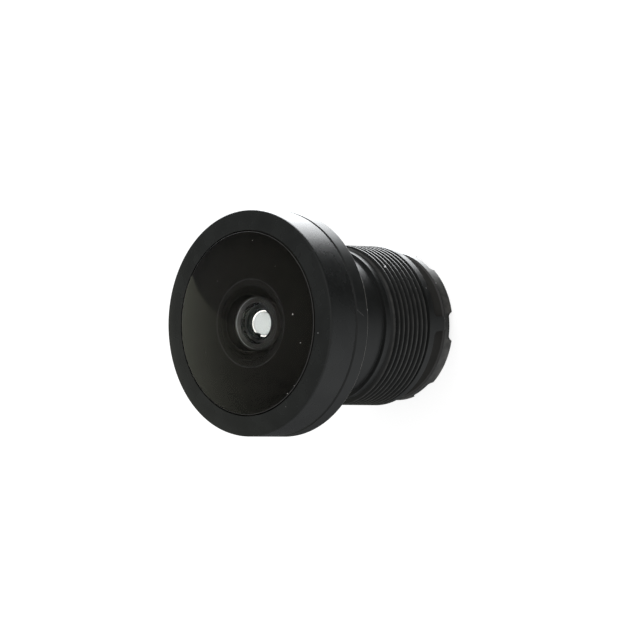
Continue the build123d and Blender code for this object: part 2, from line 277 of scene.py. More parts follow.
def satin_black(name, dye, roughness, specular, wear=0.0, dust=0.0, grain_depth=0.25, marks=()):
    """Dyed or painted surface with grain, worn edges, dust, and the single marks it is given."""
    material = bpy.data.materials.new(name)
    material.use_nodes = True
    nodes, links = material.node_tree.nodes, material.node_tree.links
    shader = nodes["Principled BSDF"]
    shader.inputs["Specular IOR Level"].default_value = specular
    place = nodes.new("ShaderNodeTexCoord").outputs["Object"]

    def placed(tree, **values):
        """One of the effects, placed on this surface with its own values."""
        node = added(nodes, "ShaderNodeGroup", {"node_tree": tree}, **values)
        links.new(place, node.inputs["Place"])
        return node

    surface = placed(fine_grain, Dye=(*dye, 1))
    matt = math_node(nodes, links, "MULTIPLY", surface.outputs["Roughness"], roughness)
    links.new(matt, shader.inputs["Roughness"])
    bump = added(nodes, "ShaderNodeBump", Strength=grain_depth, Distance=grain_height)
    links.new(surface.outputs["Height"], bump.inputs["Height"])
    links.new(bump.outputs["Normal"], shader.inputs["Normal"])
    paints = []
    if wear:
        edge = added(nodes, "ShaderNodeAttribute", {"attribute_name": "edge"})
        rubbed_and_painted_light = placed(edge_wear, Amount=wear)
        links.new(edge.outputs["Fac"], rubbed_and_painted_light.inputs["Edge"])
        paints.append((rubbed_and_painted_light, bare_metal_and_highlight))
    if dust:
        paints.append((placed(dust_specks, Share=dust), dust_grey))
    for x, y, z, radius, shade in marks:
        mark = placed(single_mark, Centre=(x * mm, y * mm, z * mm), Radius=radius * mm)
        paints.append((mark, (shade, shade, shade)))
    colour = surface.outputs["Colour"]
    for effect, paint in paints:
        mixed = added(nodes, "ShaderNodeMix", {"data_type": "RGBA"}, B=(*paint, 1))
        links.new(effect.outputs["Mask"], mixed.inputs["Factor"])
        links.new(colour, mixed.inputs["A"])
        colour = mixed.outputs["Result"]
    links.new(colour, shader.inputs["Base Color"])
    return material


def thread_height(row, angle):
    """Height of a row of the thread's grid, which climbs one pitch a turn from below the thread."""
    turns, step = divmod(row, len(thread_form))
    climb = turns - 1 + thread_form[step][0] + angle / (2 * pi) - thread_lead
    return min(max(thread_start + thread_pitch * climb, thread_start), thread_end)


def thread_radius(row, height):
    """Radius of the thread there, faded out at the land and chamfered at the neck."""
    fade = min((height - thread_start) / thread_fade, 1)
    chamfer = max(height - (thread_end - thread_depth), 0)
    return thread_crest - max(thread_depth * thread_form[row % len(thread_form)][1] * fade, chamfer)


barrel_mesh = bmesh.new()
foot_circles = revolved(barrel_mesh, barrel_foot, barrel_columns)
body_circles = revolved(barrel_mesh, barrel_body, barrel_columns)
band(barrel_mesh, body_circles[-1], foot_circles[0])
edge_layer = barrel_mesh.verts.layers.float["edge"]
# The grid runs about a turn past the thread at each end, and is held at its start and its end
thread_rows = len(thread_form) * (int((thread_end - thread_start) / thread_pitch) + 2) + 1
thread_grid = []
for j in range(barrel_columns):
    angle = 2 * pi * j / barrel_columns
    column = []
    for row in range(thread_rows):
        z = thread_height(row, angle)
        r = thread_radius(row, z)
        vertex = barrel_mesh.verts.new((r * cos(angle), r * sin(angle), z))
        wear = thread_form[row % len(thread_form)][2]
        vertex[edge_layer] = wear if thread_start < z < thread_end else 0
        column.append(vertex)
    thread_grid.append(column)
for j in range(barrel_columns):
    # The last column joins the first a turn higher up
    shift = len(thread_form) if j == barrel_columns - 1 else 0
    here, there = thread_grid[j], thread_grid[(j + 1) % barrel_columns]
    for row in range(thread_rows - 1):
        low, high = min(row + shift, thread_rows - 1), min(row + 1 + shift, thread_rows - 1)
        unique = list(dict.fromkeys((here[row], there[low], there[high], here[row + 1])))
        if len(unique) > 2:
            barrel_mesh.faces.new(unique)
bmesh.ops.remove_doubles(barrel_mesh, verts=barrel_mesh.verts, dist=weld)
bmesh.ops.recalc_face_normals(barrel_mesh, faces=barrel_mesh.faces)


def cutter(name, levels):
    """Closed block from a stack of outlines with the same number of points."""
    bm = bmesh.new()
    stack = [[bm.verts.new(point) for point in level] for level in levels]
    bm.faces.new(stack[0])
    bm.faces.new(stack[-1])
    for low, high in zip(stack, stack[1:]):
        band(bm, low, high)
    bmesh.ops.recalc_face_normals(bm, faces=bm.faces)
    mesh = bpy.data.meshes.new(name)
    bm.to_mesh(mesh)
    bm.free()
    return bpy.data.objects.new(name, mesh)


def carved(bm, cutters):
    """The mesh with the cutters taken out of it."""
    mesh = bpy.data.meshes.new("blank")
    bm.to_mesh(mesh)
    bm.free()
    blank = bpy.data.objects.new("blank", mesh)
    tools = bpy.data.collections.new("cutters")
    bpy.context.scene.collection.children.link(tools)
    bpy.context.scene.collection.objects.link(blank)
    for tool in cutters:
        tools.objects.link(tool)
    cut = blank.modifiers.new("cut", "BOOLEAN")
    cut.operation = "DIFFERENCE"
    cut.solver = "EXACT"
    cut.operand_type = "COLLECTION"
    cut.collection = tools
    bpy.context.view_layer.update()
    shown = blank.evaluated_get(bpy.context.evaluated_depsgraph_get())
    shaped = bmesh.new()
    shaped.from_mesh(bpy.data.meshes.new_from_object(shown))
    for tool in [*cutters, blank]:
        bpy.data.objects.remove(tool)
    bpy.data.collections.remove(tools)
    return shaped


# The cutters reach this far past the surfaces they cut through
cut_past = 0.5
# A bridge stands between two pockets: half its width on its straight side, and on its slanted
# side at the pocket's bottom and top
first_bridge = radians(-90)
bridge_straight = 0.70
bridge_slanted_low, bridge_slanted_high = 0.25, 0.44
pocket_count = 3
pocket_steps = 48
pocket_bottom, pocket_top = 0.9, 2.4
pocket_floor = 5.1
pocket_corner = 0.22
pocket_corner_steps = 5
pocket_chamfer = 0.06
# The end ring's side of a pocket runs out in a ramp: height, radius
pocket_ramp = ((0.9, 5.59), (1.0, 5.47), (1.11, 5.35), (1.24, 5.24), (1.4, 5.15), (1.58, 5.1))
# Levels of a pocket from the bottom up: height, how far its ends have opened, floor radius
pocket_levels = [(z, 0, radius) for z, radius in pocket_ramp]
for k in range(pocket_corner_steps + 1):
    slope = k / pocket_corner_steps * pi / 2
    rise, opened = pocket_corner * (1 - sin(slope)), pocket_corner * (1 - cos(slope))
    pocket_levels.append((pocket_top - rise, opened, pocket_floor))
for out in (-pocket_chamfer, pocket_chamfer):
    pocket_levels.append((pocket_top + pocket_chamfer + out, pocket_corner, thread_crest + out))
slant = (bridge_slanted_high - bridge_slanted_low) / (pocket_top - pocket_bottom)
cutters = []
for i in range(pocket_count):
    left = first_bridge + i * 2 * pi / pocket_count
    right = left + 2 * pi / pocket_count
    levels = []
    for z, opened, floor_radius in pocket_levels:
        straight = bridge_straight + opened
        slanted = bridge_slanted_low + slant * (z - pocket_bottom) + opened
        level = []
        for radius, order in ((thread_crest + cut_past, 1), (floor_radius, -1)):
            start, end = left + asin(straight / radius), right - asin(slanted / radius)
            arc = [start + (end - start) * k / pocket_steps for k in range(pocket_steps + 1)]
            level += [(radius * cos(a), radius * sin(a), z) for a in arc[::order]]
        levels.append(level)
    cutters.append(cutter(f"pocket_cutter_{i}", levels))
# The walls of a notch slant in towards its rounded floor: height, half width
notch_count = 6
notch_inner, notch_outer = 3.9, 6.5
notch_form = ((-cut_past, 1.31), (0, 1.10), (0.24, 0.974), (0.34, 0.87), (0.40, 0.77))
for i in range(notch_count):
    turn = first_bridge + i * 2 * pi / notch_count
    levels = []
    for z, half in notch_form:
        corners = (
            (notch_inner, -half), (notch_outer, -half), (notch_outer, half), (notch_inner, half)
        )
        levels.append(
            [(r * cos(turn) - s * sin(turn), r * sin(turn) + s * cos(turn), z) for r, s in corners]
        )
    cutters.append(cutter(f"notch_cutter_{i}", levels))

# White specks, nicks in the thread and a scratch, where the photo shows them. A mark is its
# place, radius and shade.
barrel_marks = [
    (4.36, -4.06, 5.90, 0.10, 0.75), (4.20, -4.21, 5.90, 0.05, 0.6),
    (2.26, -5.56, 5.8, 0.03, 0.3), (2.814, -5.299, 3.838, 0.035, 0.35),
    (3.016, -5.187, 3.053, 0.05, 0.4), (2.84, -5.29, 2.7, 0.04, 0.3),
    (3.623, -4.27, 0.946, 0.05, 0.35), (3.248, -4.562, 0.813, 0.045, 0.3),
    (2.28, -8.085, 12.36, 0.05, 0.6),
]
scratch_start, scratch_end = Vector((1.043, -8.335, 13.55)), Vector((0.593, -8.379, 12.878))
scratch_points, scratch_radius, scratch_shade, scratch_flicker = 14, 0.028, 0.05, 0.03
for k in range(scratch_points):
    point = scratch_start.lerp(scratch_end, k / (scratch_points - 1))
    barrel_marks.append((*point, scratch_radius, scratch_shade + scratch_flicker * (k % 3)))
anodised_dye = (0.0125, 0.0134, 0.0130)
black_anodised = satin_black(
    "black_anodised", anodised_dye, roughness=0.31, specular=0.25,
    wear=0.9, dust=0.004, marks=barrel_marks,
)
# The cutter leaves the pockets a little duller; their paler dye is painted light in the shaded
# pockets, and palest, where their ramp runs out, on faces that the head shades.
milled_black_painted_light = satin_black(
    "milled_black_painted_light", (0.0185, 0.0180, 0.0160), roughness=0.5, specular=0.2
)
ramp_painted_light = satin_black(
    "ramp_painted_light", (0.045, 0.044, 0.043), roughness=0.5, specular=0.2
)
barrel_mesh = carved(barrel_mesh, cutters)
# A face belongs to a pocket between these radii, and to its ramp of painted light below this
# height where it faces up
pocket_inner, pocket_outer, pocket_margin = 5.0, 5.95, 0.01
painted_light_below, facing_up = 1.0, 0.3
for face in barrel_mesh.faces:
    middle = face.calc_center_median()
    milled = (
        pocket_bottom - pocket_margin < middle.z < pocket_top + pocket_margin
        and pocket_inner < middle.xy.length < pocket_outer
    )
    rubbed_and_painted_light = milled and middle.z < painted_light_below and face.normal.z > facing_up
    face.material_index = 2 if rubbed_and_painted_light else 1 if milled else 0
barrel_blacks = [black_anodised, milled_black_painted_light, ramp_painted_light]
finished("turned_barrel", barrel_mesh, barrel_blacks, "barrel")

# Aperture stop
# Thin washer of black film, punched out, that lies against the web. Its hole sets how much
# light passes.
black_film = satin_black(
    "black_film", (0.060, 0.059, 0.057), roughness=0.8, specular=0.08, grain_depth=0.0
)


def turned(name, node, profile, materials, columns=128):
    """Ring turned to a closed profile of radius, height and easing."""
    bm = bmesh.new()
    revolved(bm, profile, columns, closed=True)
    finished(name, bm, materials, node)


def film(name, node, inner, outer, low, high):
    """Thin washer, a hair thinner than its solid, so that it only nearly touches its ring."""
    hair = 0.003
    low, high = low + hair, high - hair
    profile = ((inner, low, 0), (outer, low, 0), (outer, high, 0), (inner, high, 0))
    turned(name, node, profile, [black_film])


film("stop_film", "aperture_stop", inner=2.02, outer=3.0, low=9.134, high=9.184)

# Stop ring
# Turned ring, anodised matt black, that presses the stop against the web and sets the air to the
# cemented pair.
matte_black = satin_black(
    "matte_black_ring", (0.055, 0.055, 0.054), roughness=0.7, specular=0.1,
    wear=0.15, grain_depth=0.0,
)
turned(
    "stop_ring_turned", "stop_ring",
    ((2.15, 8.388, 0), (3.0, 8.388, 0), (3.0, 9.134, 0), (2.15, 9.134, 0)),
    [matte_black],
)

# Cemented pair
# Two small glasses, ground to one deep curve and cemented on it, coated on their outer faces and
# inked round the rim. They lie behind the stop ring.

# Haze of dust on a coated face, which also takes a little of the glass's clearness
glass_haze, nodes, links, given, result = shader_group(
    "glass_haze", (("Place", "V"), ("Tint", "C")), (("Colour", "C"), ("Roughness", "F"))
)
haze = added(nodes, "ShaderNodeTexNoise", Scale=900, Detail=5)
dull = added(nodes, "ShaderNodeMapRange", From_Min=0.45, From_Max=0.8, To_Min=0, To_Max=0.02)
clear = added(nodes, "ShaderNodeMapRange", From_Min=0.3, From_Max=0.8, To_Min=1, To_Max=0.985)
body = added(nodes, "ShaderNodeMix", {"data_type": "RGBA", "blend_type": "MULTIPLY"}, Factor=1)
links.new(given.outputs["Place"], haze.inputs["Vector"])
for ranged in (dull, clear):
    links.new(haze.outputs["Fac"], ranged.inputs["Value"])
links.new(given.outputs["Tint"], body.inputs["A"])
links.new(clear.outputs["Result"], body.inputs["B"])
links.new(body.outputs["Result"], result.inputs["Colour"])
links.new(dull.outputs["Result"], result.inputs["Roughness"])


def coated_glass(name, ior, tint, coating):
    """Optical glass whose coating keeps most of its reflection down and tints the rest."""
    material = bpy.data.materials.new(name)
    material.use_nodes = True
    nodes, links = material.node_tree.nodes, material.node_tree.links
    shader = nodes["Principled BSDF"]
    shader.inputs["Transmission Weight"].default_value = 1
    shader.inputs["IOR"].default_value = ior
    shader.inputs["Specular Tint"].default_value = (*coating, 1)
    place = nodes.new("ShaderNodeTexCoord").outputs["Object"]
    hazed = added(nodes, "ShaderNodeGroup", {"node_tree": glass_haze}, Tint=(*tint, 1))
    links.new(place, hazed.inputs["Place"])
    links.new(hazed.outputs["Colour"], shader.inputs["Base Color"])
    links.new(hazed.outputs["Roughness"], shader.inputs["Roughness"])
    return material


# Which way a face bulges, and the number of the rim's ink among a glass's finishes, in which the
# polished faces come first
to_front, to_rear = 1, -1
ink = 1


def polished(vertex, radius, rim, bulge, steps=40):
    """Points of a polished face from the axis out: its height on the axis, the radius of its
    curve, its outer radius, and the way it bulges."""
    points = []
    for k in range(steps + 1):
        r = rim * k / steps
        points.append((r, vertex - bulge * (radius - sqrt(radius**2 - r**2))))
    return points


def glass(name, node, front, rim, rear, finishes, bevel=ink, columns=160):
    """Turned glass. A rim point gives the number of the finish from there on, and bevel the
    number of the band next to the front face."""
    bm = bmesh.new()
    points = [(*p, 0) for p in front[:-1]] + [(*front[-1], bevel), *rim]
    points += [(*p, 0) for p in rear[::-1]]
    circles = [(ring_of(bm, r, z, columns), index) for r, z, index in points]
    for (low, index), (high, _) in zip(circles, circles[1:]):
        band(bm, low, high, index)
    finished(name, bm, finishes, node)


edge_ink = satin_black(
    "edge_ink", (0.030, 0.029, 0.027), roughness=0.6, specular=0.2, grain_depth=0.03
)
pair_inner_coated = coated_glass(
    "pair_inner_coated", ior=1.593, tint=(0.99, 0.99, 0.99), coating=(0.08, 0.09, 0.10)
)
glass(
    "pair_inner_polished", "pair_inner_glass",
    [(0, 8.384), (0.85, 8.384), (1.7, 8.384), (2.47, 8.384)],
    [(2.55, 8.304, ink)],
    polished(5.784, 2.76, 2.55, to_rear),
    [pair_inner_coated, edge_ink],
)
pair_outer_coated = coated_glass(
    "pair_outer_coated", ior=1.847, tint=(0.99, 0.99, 0.98), coating=(0.04, 0.05, 0.05)
)
glass(
    "pair_outer_polished", "pair_outer_glass",
    polished(5.774, 2.76, 2.6, to_rear),
    [(2.92, 7.608, ink), (3.0, 7.528, ink), (3.0, 6.083, ink), (2.92, 6.006, ink)],
    polished(5.274, 5.0, 2.6, to_rear),
    [pair_outer_coated, edge_ink],
)

# Rear film
# Washer punched from black film, squeezed between the cemented pair and the rear ring to keep
# stray light out.
film("rear_film_washer", "rear_film", inner=2.65, outer=3.0, low=5.953, high=6.003)

# Rear ring
# Stepped ring, turned and anodised matt black, between the cemented pair and the last glass. Its
# lip trims the beam.
turned(
    "rear_ring_turned", "rear_ring",
    ((2.65, 5.953, 0), (3.0, 5.953, 0), (3.0, 5.653, 0), (3.4, 5.653, 0), (3.4, 4.619, 0),
     (3.05, 4.619, 0), (2.56, 5.853, 0)),
    [matte_black],
)

# Last glass
# Thick biconvex glass nearest the sensor, coated, inked round the rim, and pressed home by the
# retaining ring.
rear_coated = coated_glass(
    "rear_glass_coated", ior=1.593, tint=(0.99, 0.99, 0.99), coating=(0.08, 0.09, 0.10)
)
glass(
    "rear_glass_polished", "rear_glass",
    polished(5.024, 11.2, 3.0, to_front),
    [(3.32, 4.615, ink), (3.40, 4.535, ink), (3.40, 3.125, ink), (3.32, 3.049, ink)],
    polished(2.824, 20.5, 3.0, to_rear),
    [rear_coated, edge_ink],
)

# Retaining ring
# Matt black threaded ring that closes the stack from behind, with a recess for the filter and
# a slot across its rear face for the driver.
retainer = bmesh.new()
retainer_profile = (
    (3.05, 3.045, 0), (4.2, 3.045, 0.03), (4.2, 1.145, 0.03), (3.59, 1.145, 0.03),
    (3.59, 1.405, 0), (3.05, 1.405, 0.02),
)
revolved(retainer, retainer_profile, columns=160, closed=True)
slot_reach, slot_half = 4.7, 0.3
slot_below, slot_floor = 0.6, 1.645
slot_outline = (
    (-slot_reach, -slot_half), (slot_reach, -slot_half), (slot_reach, slot_half),
    (-slot_reach, slot_half),
)
slot_levels = [[(x, y, z) for x, y in slot_outline] for z in (slot_below, slot_floor)]
retainer = carved(retainer, [cutter("slot_cutter", slot_levels)])
finished("retaining_ring", retainer, [matte_black], "rear_retainer")

# Infrared filter
# Thin square-edged disc of filter glass, cut from a coated sheet and bonded into the retaining
# ring's recess.
filter_coated = coated_glass(
    "filter_glass", ior=1.523, tint=(0.93, 0.98, 0.99), coating=(0.25, 0.20, 0.35)
)
filter_radii = (0, 1.2, 2.4, 3.52)
glass(
    "filter_disc", "infrared_filter",
    [(r, 1.402) for r in filter_radii],
    [(3.55, 1.372, ink), (3.55, 1.225, ink)],
    [(r, 1.195) for r in filter_radii],
    [filter_coated, edge_ink],
)

# Flake in the opening
# Small black flake that clings to the stop ring just behind the stop; it shows as a bite out of
# the lower left of the bright opening.
flake_outline = (
    (-1.27, 1.36), (-1.36, 0.80), (-1.45, 0.30), (-1.52, 0.22),
    (-2.13, 0.22), (-2.05, 0.62), (-1.72, 1.26), (-1.58, 1.44),
)
flake_rear, flake_front, flake_taper = 9.06, 9.12, 0.99
flake = bmesh.new()
low = [flake.verts.new((x, y, flake_rear)) for x, y in flake_outline]
high = [flake.verts.new((x * flake_taper, y * flake_taper, flake_front)) for x, y in flake_outline]
flake.faces.new(low)
flake.faces.new(high)
band(flake, low, high)
finished("black_flake", flake, [edge_ink])

# Third glass
# Thick positive glass, ground and polished on both faces, coated, and inked round the rim. It
# rests on the front of the web.
third_coated = coated_glass(
    "third_glass_coated", ior=1.847, tint=(0.99, 0.99, 0.98), coating=(0.04, 0.05, 0.06)
)
glass(
    "third_glass_polished", "third_glass",
    polished(13.604, 5.6, 3.15, to_front),
    [(3.42, 12.634, ink), (3.50, 12.554, ink), (3.50, 10.514, ink), (3.42, 10.434, ink)],
    polished(10.204, 21.0, 3.1, to_rear),
    [third_coated, edge_ink],
)

# Second ring
# Turned ring that sets the air between the second and third glasses. Its black is painted a
# paler grey, which stands in for the light inside the lens, and its lip, which trims the beam,
# rises a little inside the second film.
ring_grey_painted_light = satin_black(
    "black_ring_painted_grey", (0.120, 0.119, 0.116), roughness=0.8, specular=0.05, grain_depth=0.0
)
turned(
    "second_ring_turned", "second_ring",
    ((2.2, 13.738, 0.02), (2.38, 13.738, 0), (2.38, 13.696, 0), (3.5, 13.696, 0),
     (3.5, 12.638, 0), (3.2, 12.638, 0), (2.5, 13.246, 0), (2.2, 13.246, 0.02)),
    [ring_grey_painted_light],
)

# Second film
# Washer punched from black film, laid on the second ring under the second glass to keep stray
# light out.
film("second_film_washer", "second_film", inner=2.4, outer=4.2, low=13.696, high=13.746)

# Second glass
# Meniscus that reaches up into the hollow of the front glass. Its side is inked. The ground edge
# round its front face shows as a bright line, a highlight painted on its +Y side, dark towards -Y.
second_coated = coated_glass(
    "second_glass_coated", ior=1.544, tint=(0.99, 0.99, 0.99), coating=(0.08, 0.09, 0.10)
)


def painted_light_where(material, mask, dye):
    """Keeps a material's own colour where the mask is one, as painted light, and gives it a darker
    dye where it isn't.
    """
    nodes, links = material.node_tree.nodes, material.node_tree.links
    base = nodes["Principled BSDF"].inputs["Base Color"]
    mixed = added(nodes, "ShaderNodeMix", {"data_type": "RGBA"}, A=(*dye, 1))
    links.new(mask, mixed.inputs["Factor"])
    links.new(base.links[0].from_socket, mixed.inputs["B"])
    links.new(mixed.outputs["Result"], base)


# The ink's back faces, seen through the glass, are painted paler, as painted light; from outside it
# keeps a dark dye
rim_ink_marks = [(-0.35, 2.44, 15.07, 0.05, 0.15), (0.5, 2.3, 15.07, 0.04, 0.12)]
rim_ink_painted_light = satin_black(
    "rim_ink_painted_light", (0.115, 0.110, 0.104), roughness=0.6, specular=0.2,
    grain_depth=0.03, marks=rim_ink_marks,
)
painted_light_through_glass = rim_ink_painted_light.node_tree.nodes.new("ShaderNodeNewGeometry").outputs["Backfacing"]
painted_light_where(rim_ink_painted_light, painted_light_through_glass, (0.036, 0.034, 0.031))
# The ground edge keeps its pale colour as a painted highlight on the +Y side and is painted dark
# towards -Y
ground_edge = satin_black(
    "ground_edge", (0.90, 0.92, 0.93), roughness=0.55, specular=0.5, grain_depth=0.4
)
nodes, links = ground_edge.node_tree.nodes, ground_edge.node_tree.links
across_edge = nodes.new("ShaderNodeSeparateXYZ")
links.new(nodes.new("ShaderNodeTexCoord").outputs["Object"], across_edge.inputs["Vector"])
painted_highlight_side = added(nodes, "ShaderNodeMapRange", From_Min=-0.8 * mm, From_Max=1.4 * mm)
links.new(across_edge.outputs["Y"], painted_highlight_side.inputs["Value"])
painted_light_where(ground_edge, painted_highlight_side.outputs["Result"], (0.035, 0.034, 0.033))
ground = 2
glass(
    "second_glass_polished", "second_glass",
    polished(14.82, 45.0, 2.60, to_rear),
    [(2.675, 14.898, ground), (2.70, 14.87, ink), (2.95, 14.60, ink), (4.12, 14.60, ink),
     (4.20, 14.52, ink), (4.20, 13.826, ink), (4.12, 13.75, ink), (2.32, 13.75, ink)],
    polished(14.404, 4.35, 2.3, to_front),
    [second_coated, rim_ink_painted_light, ground_edge], bevel=ground,
)

# Light shield
# Wide ring punched from black film, laid between the first two glasses to keep stray light out
# of the image.
film("light_shield_film", "light_shield", inner=3.05, outer=5.8, low=14.6, high=14.7)

# Seal
# Moulded rubber ring, squeezed between the front glass and the barrel's groove to keep dust and
# damp out.
seal_rubber = satin_black(
    "seal_rubber", (0.020, 0.020, 0.020), roughness=0.5, specular=0.4, grain_depth=0.2
)
seal_radius, seal_height, seal_cord = 6.5, 14.47, 0.22
seal_steps = 20
seal_circle = []
for k in range(seal_steps):
    turn = 2 * pi * k / seal_steps
    r, z = seal_radius + seal_cord * cos(turn), seal_height + seal_cord * sin(turn)
    seal_circle.append((r, z, 0))
turned("rubber_seal", "front_seal", seal_circle, [seal_rubber])

# Front glass
# Large domed meniscus with a green-tinted coating. Its rear face and sides are inked black, the
# sides in a paler ink that paints light where the cap's lip shades them, and its ground bevel
# shows as a thin light line inside the cap.
dome_top, dome_radius = 17.834, 18.2
front_coated = coated_glass(
    "front_glass_coated", ior=1.774, tint=(0.99, 0.99, 0.97), coating=(0.030, 0.036, 0.020)
)
glass_ink = satin_black(
    "glass_ink", (0.0104, 0.0097, 0.0081), roughness=0.6, specular=0.1, grain_depth=0.0
)
# Paler ink on the sides: painted light where the cap's lip shades them
side_ink_painted_light = satin_black(
    "side_ink_painted_light", (0.085, 0.082, 0.072), roughness=0.6, specular=0.1, grain_depth=0.0
)
ground_bevel = satin_black(
    "ground_bevel", (0.035, 0.035, 0.034), roughness=0.5, specular=0.3,
    dust=0.03, grain_depth=0.2,
)
hollow_bevel = satin_black(
    "hollow_bevel", (0.016, 0.016, 0.015), roughness=0.5, specular=0.2, grain_depth=0.1
)
hollow, side = 3, 4
glass(
    "front_glass_polished", "front_glass",
    polished(dome_top, dome_radius, 6.75, to_front, steps=60),
    [(6.79, 16.50, ink), (6.80, 16.20, side), (6.80, 15.797, side), (7.05, 15.797, side),
     (7.05, 14.78, side), (6.97, 14.705, ink), (3.05, 14.705, hollow)],
    polished(16.734, 3.2, 2.98, to_front, steps=60),
    [front_coated, glass_ink, ground_bevel, hollow_bevel, side_ink_painted_light], bevel=ground, columns=192,
)

# Front cap
# Turned ring of black anodised aluminium, screwed over the barrel's spigot against the flange.
# Its lip holds the front glass, and its front face is a very shallow cone.
cap_marks = [(-0.722, -7.176, 16.459, 0.04, 0.2), (5.4, 5.6, 16.38, 0.03, 0.15)]
cap_anodised = satin_black(
    "cap_anodised", anodised_dye, roughness=0.27, specular=0.25,
    wear=0.3, dust=0.003, marks=cap_marks,
)
turned(
    "turned_front_cap", "front_cap",
    ((7.65, 13.705, 0), (8.36, 13.705, 0.01), (8.4, 13.745, 0.02), (8.4, 15.0, 0),
     (8.4, 16.35, 0.14), (7.6, 16.424, 0), (6.89, 16.488, 0.02), (6.89, 15.8, 0),
     (7.65, 15.8, 0)),
    [cap_anodised], columns=256,
)

# Dust on the front glass
# Pale flakes of dust and lint that lie loose on the dome, where the photo shows the largest of
# them. A flake is its place across the lens and its size.
dust_places = (
    (6.117, -0.708, 0.035), (0.64, -5.187, 0.06), (-1.441, -5.774, 0.035),
    (-5.178, -4.247, 0.03), (-4.6, -4.9, 0.025), (3.1, 2.2, 0.018), (-2.2, 3.4, 0.02),
    (1.4, -2.6, 0.016), (4.2, -3.3, 0.018),
)
dust_corners = 7
dust_raggedness = (0.55, 1.15)
dust_gap, dust_thickness, dust_taper = 0.002, 0.012, 0.7
dust_seed = 4
dust_flakes = bmesh.new()
scatter = random.Random(dust_seed)
for x, y, size in dust_places:
    low, high = [], []
    for k in range(dust_corners):
        reach = size * scatter.uniform(*dust_raggedness)
        turn = 2 * pi * k / dust_corners
        u, v = reach * cos(turn), reach * sin(turn)
        on_dome = dome_top - dome_radius + sqrt(dome_radius**2 - (x + u) ** 2 - (y + v) ** 2)
        low.append((x + u, y + v, on_dome + dust_gap))
        top = on_dome + dust_gap + dust_thickness
        high.append((x + u * dust_taper, y + v * dust_taper, top))
    low, high = [[dust_flakes.verts.new(point) for point in level] for level in (low, high)]
    dust_flakes.faces.new(low)
    dust_flakes.faces.new(high)
    band(dust_flakes, low, high)
lint = satin_black(
    "lint", (0.55, 0.54, 0.52), roughness=0.8, specular=0.3, grain_depth=0.3
)
finished("dust_on_glass", dust_flakes, [lint])

# Floor and light
# Plain white floor and soft white surroundings. What gloss mirrors is a bright panel low on one
# side, a pale card behind the glass, and darker surroundings elsewhere.
# Half the floor's width in metres
floor_half = 1.5
floor_grey = (0.3, 0.3, 0.3, 1)
# How bright the floor looks to the camera, through the glasses, and as fill on the lens
floor_glow = (("Is Camera Ray", 0.8), ("Is Transmission Ray", 0.76), ("Is Diffuse Ray", 0.12))


def glow_for(nodes, links, glow):
    """Strength that depends on the kind of ray that looks: kind, strength."""
    path = nodes.new("ShaderNodeLightPath")
    total = 0.0
    for kind, strength in glow:
        part = math_node(nodes, links, "MULTIPLY", path.outputs[kind], strength)
        total = math_node(nodes, links, "ADD", part, total)
    return total


floor_mesh = bmesh.new()
bmesh.ops.create_grid(floor_mesh, x_segments=1, y_segments=1, size=floor_half)
floor_data = bpy.data.meshes.new("floor")
floor_mesh.to_mesh(floor_data)
floor_mesh.free()
floor = bpy.data.objects.new("floor", floor_data)
bpy.context.scene.collection.objects.link(floor)
floor.visible_glossy = False
floor_material = bpy.data.materials.new("pale_floor")
floor_material.use_nodes = True
floor_material.cycles.emission_sampling = "NONE"
nodes, links = floor_material.node_tree.nodes, floor_material.node_tree.links
shader = nodes["Principled BSDF"]
shader.inputs["Base Color"].default_value = floor_grey
shader.inputs["Roughness"].default_value = 1
shader.inputs["Specular IOR Level"].default_value = 0
shader.inputs["Emission Color"].default_value = (1, 1, 1, 1)
links.new(glow_for(nodes, links, floor_glow), shader.inputs["Emission Strength"])
floor.data.materials.append(floor_material)

# Brightness of the lower surroundings by their angle from +X in degrees
low_glow = (
    (-180, 0.42), (-155, 0.75), (-127, 0.90), (-90, 0.62), (-66, 0.08), (-46, 0.04),
    (-24, 0.06), (-8, 0.10), (4, 1.9), (14, 6.0), (56, 7.0), (78, 1.8), (90, 0.12),
    (126, 0.10), (150, 0.20), (180, 0.42),
)
low_tint = (0.96, 0.98, 1)
# Lower and upper surroundings blend between these two heights of a unit direction
horizon_low, horizon_high = -0.12, 0.08
# The card ends at three planes through the lens, each with a softness of its own
card_colour = (0.38, 0.39, 0.305)
card_edges = (((1, -0.220, 0.225), 0.01), ((0, -1, 1), 0.5), ((0, -1, 0), 0.02))
# Grey of the upper surroundings, and how much brighter they are on the -Y side
upper_grey, near_side_extra = 0.13, 0.5
near_side_edge = ((0, 1, 0), 0.25)
# Everything is plain white to the camera, through the glasses and as light on the lens
white_glow = (("Is Diffuse Ray", 1), ("Is Transmission Ray", 1), ("Is Camera Ray", 1))

world = bpy.data.worlds.new("studio")
bpy.context.scene.world = world
world.use_nodes = True
world.cycles.sampling_method = "NONE"
nodes, links = world.node_tree.nodes, world.node_tree.links
direction = nodes.new("ShaderNodeTexCoord").outputs["Generated"]
around = added(nodes, "ShaderNodeTexGradient", {"gradient_type": "RADIAL"})
links.new(direction, around.inputs["Vector"])
low_ramp = nodes.new("ShaderNodeValToRGB")
links.new(around.outputs["Fac"], low_ramp.inputs["Fac"])
brightest = max(level for _, level in low_glow)
stops = low_ramp.color_ramp.elements
for degrees, _ in low_glow[1:-1]:
    stops.new(degrees / 360 + 0.5)
for stop, (degrees, level) in zip(stops, low_glow):
    share = level / brightest
    stop.position = degrees / 360 + 0.5
    stop.color = (*(share * part for part in low_tint), 1)


def side_of(normal, soft):
    """One on the far side of a plane through the lens, nothing on the near side."""
    dot = added(nodes, "ShaderNodeVectorMath", {"operation": "DOT_PRODUCT"})
    links.new(direction, dot.inputs[0])
    dot.inputs[1].default_value = normal
    ramp = added(nodes, "ShaderNodeMapRange", From_Min=soft, From_Max=-soft)
    links.new(dot.outputs["Value"], ramp.inputs["Value"])
    return ramp.outputs["Result"]


